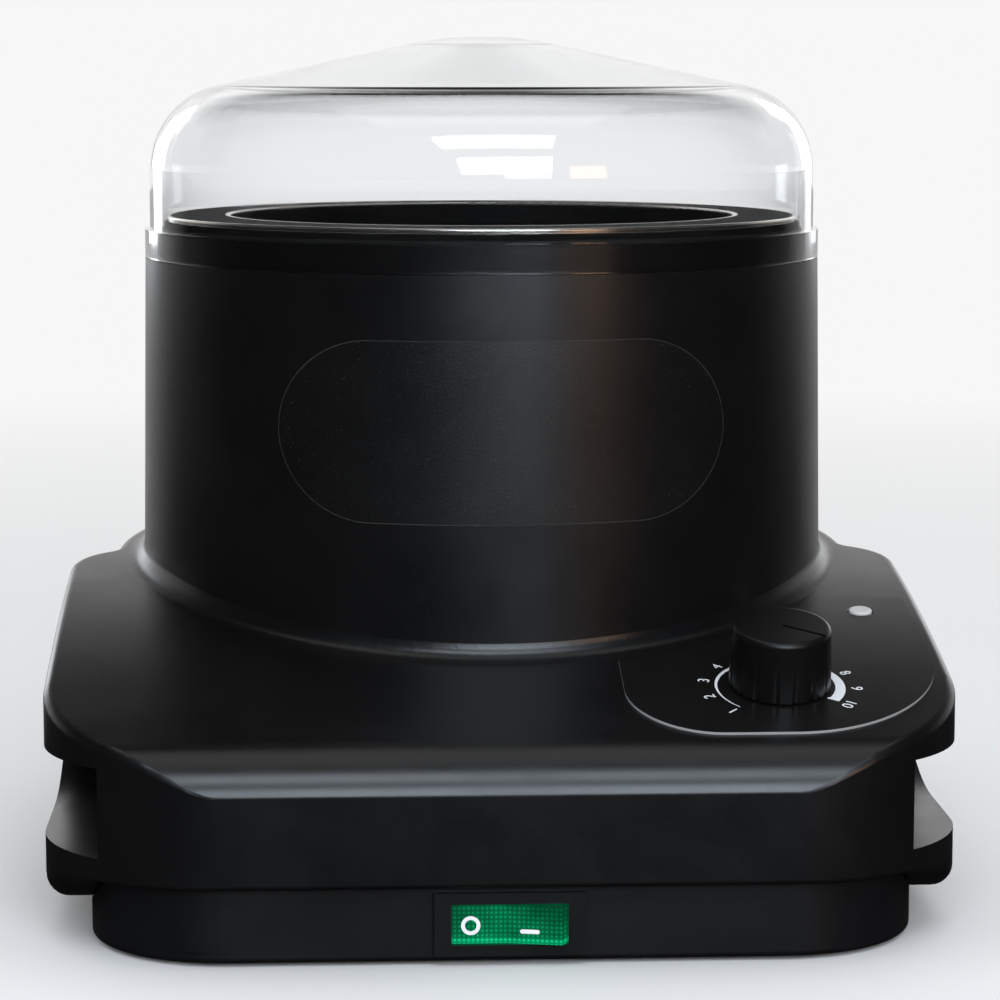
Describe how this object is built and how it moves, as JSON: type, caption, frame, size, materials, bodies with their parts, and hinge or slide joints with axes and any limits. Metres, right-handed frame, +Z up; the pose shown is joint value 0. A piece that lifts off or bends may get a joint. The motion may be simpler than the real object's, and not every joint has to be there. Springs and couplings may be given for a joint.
{
  "type": "wax warmer pot",
  "caption": "Salon wax heater: round barrel on a crowned deck with finger grooves, lift-out pot under a clear lid, thermostat knob on the deck and lit rocker switch in the plinth.",
  "frame": {"origin": "centre of the bounding box at the bottom of the feet, on the table", "axes": "+X to the right seen from the front, where the knob is, +Y to the rear, where the mains entry is, +Z up along the barrel"},
  "size_m": [0.196, 0.218, 0.1914],
  "materials": {
    "casing_black": "satin, fine grain",
    "pan_black": "satin",
    "lid_clear": "clear, polished",
    "knob_black": "satin",
    "panel_grey": "printed film, satin gloss",
    "lens_pale": "frosted",
    "switch_black": "satin",
    "rocker_green": "translucent, lit",
    "pot_aluminium": "spun, satin",
    "plated_steel": "zinc plated",
    "copper_tube": "drawn",
    "terminal_brass": "stamped",
    "sleeve_felt": "needled felt",
    "gasket_silicone": "silicone",
    "stat_resin": "moulded resin",
    "lamp_clear": "tinted",
    "gland_black": "satin",
    "foot_rubber": "matt"
  },
  "bodies": {
    "housing": {"top_casing": "casing_black", "base_pan": "pan_black", "control_overlay": "panel_grey", "indicator_lens": "lens_pale", "switch_frame": "switch_black", "heating_well": "pot_aluminium", "heater_band": "plated_steel", "thermostat_nut": "plated_steel", "thermal_cutout": "plated_steel", "casing_screws": "plated_steel", "well_screws": "plated_steel", "sensor_bulb": "copper_tube", "capillary_tube": "copper_tube", "switch_terminals": "terminal_brass", "insulation_sleeve": "sleeve_felt", "rim_gasket": "gasket_silicone", "thermostat_body": "stat_resin", "terminal_block": "stat_resin", "indicator_lamp": "lamp_clear", "cable_gland": "gland_black", "gland_nut": "gland_black", "feet": "foot_rubber"},
    "pot": {"wax_pot": "pot_aluminium"},
    "cover": {"lid": "lid_clear"},
    "dial": {"control_knob": "knob_black", "thermostat_shaft": "plated_steel"},
    "switch": {"rocker": "rocker_green"}
  },
  "joints": [
    {"name": "pot_lift", "type": "slide", "parent": "housing", "child": "pot", "axis": [0, 0, 1], "range_m": [0, 0.12]},
    {"name": "lid_lift", "type": "slide", "parent": "pot", "child": "cover", "axis": [0, 0, 1], "range_m": [0, 0.12]},
    {"name": "knob_turn", "type": "hinge", "parent": "housing", "child": "dial", "pos_m": [0.0595, -0.0765, 0.05249], "axis": [0, -0.2424, 0.9702], "range_deg": [0, 260]},
    {"name": "rocker_tilt", "type": "hinge", "parent": "housing", "child": "switch", "pos_m": [0, -0.102, 0.0089], "axis": [0, 0, 1], "range_deg": [0, 12]}
  ]
}
